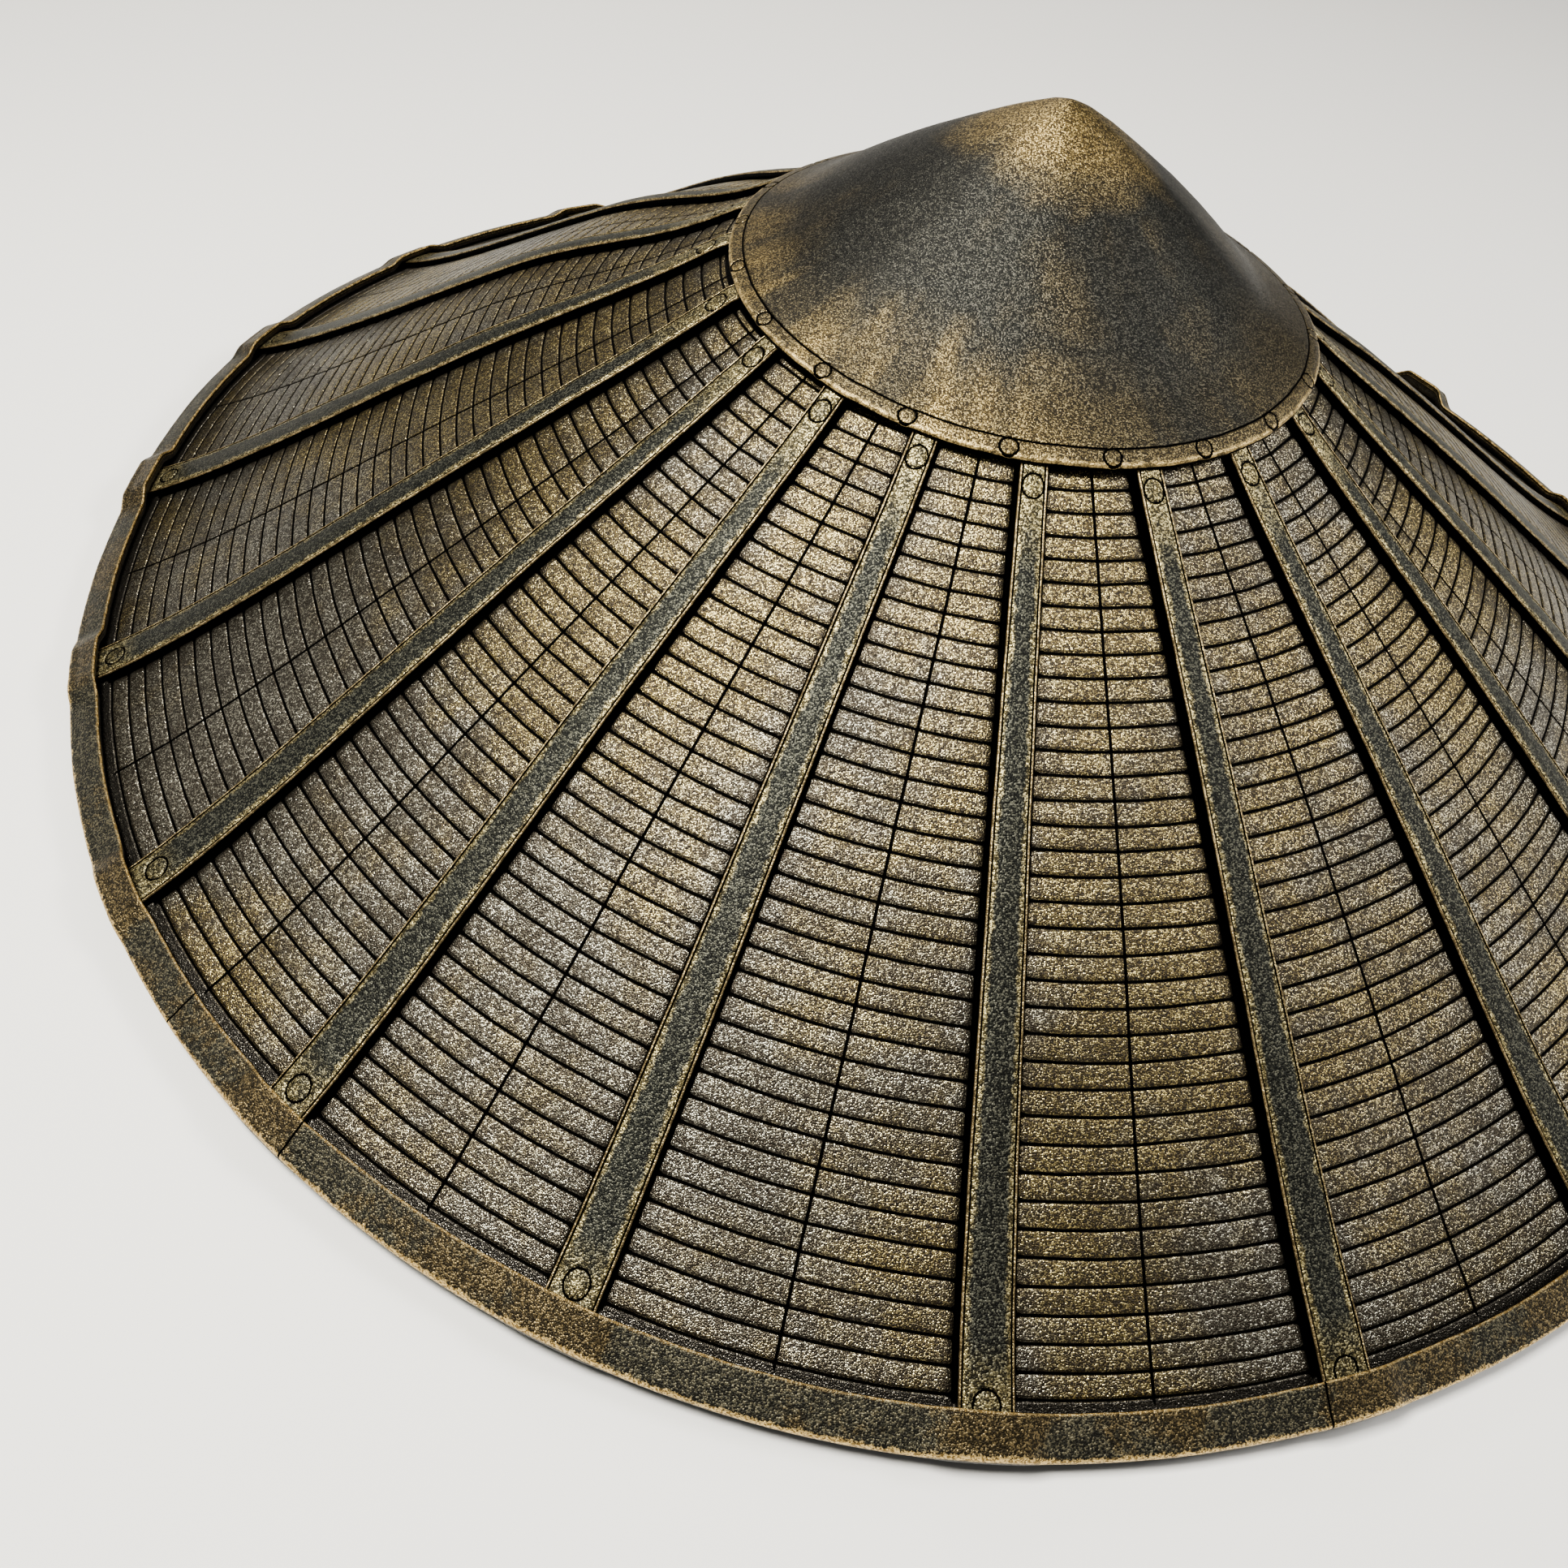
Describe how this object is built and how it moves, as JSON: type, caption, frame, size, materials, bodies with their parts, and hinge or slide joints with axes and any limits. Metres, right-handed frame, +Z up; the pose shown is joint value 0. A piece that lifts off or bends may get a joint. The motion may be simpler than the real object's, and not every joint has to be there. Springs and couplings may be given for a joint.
{
  "type": "conical hat",
  "caption": "Wide conical hat of stiff grained sheet: a flared shell scored into slats, radial ribs, a pointed crown cap and a folded rim band, resting on its rim.",
  "frame": {"origin": "in the middle of the rim, in the plane that the rim rests on", "axes": "+Z up, through the crown; -Y is the front, the side that the picture shows nearest the camera"},
  "size_m": [0.481, 0.481, 0.15],
  "materials": {
    "panel_sheet": "pebble-grained sheet rubbed with bronze over dark brown-grey, black in the scored lines",
    "rib_strip": "pebble-grained sheet, charcoal green with gold rubbed along its edges",
    "crown_sheet": "fine-grained sheet, dark grey-brown dusted with gold, gold at the apex and the edge",
    "band_strip": "pebble-grained strip, charcoal green with gold-brown rubbed edges"
  },
  "bodies": {
    "root": {"hat_shell": "panel_sheet", "rib_01": "rib_strip", "rib_02": "rib_strip", "rib_03": "rib_strip", "rib_04": "rib_strip", "rib_05": "rib_strip", "rib_06": "rib_strip", "rib_07": "rib_strip", "rib_08": "rib_strip", "rib_09": "rib_strip", "rib_10": "rib_strip", "rib_11": "rib_strip", "rib_12": "rib_strip", "rib_13": "rib_strip", "rib_14": "rib_strip", "rib_15": "rib_strip", "rib_16": "rib_strip", "rib_17": "rib_strip", "rib_18": "rib_strip", "rib_19": "rib_strip", "rib_20": "rib_strip", "crown_cap": "crown_sheet", "rim_band": "band_strip"}
  },
  "joints": []
}
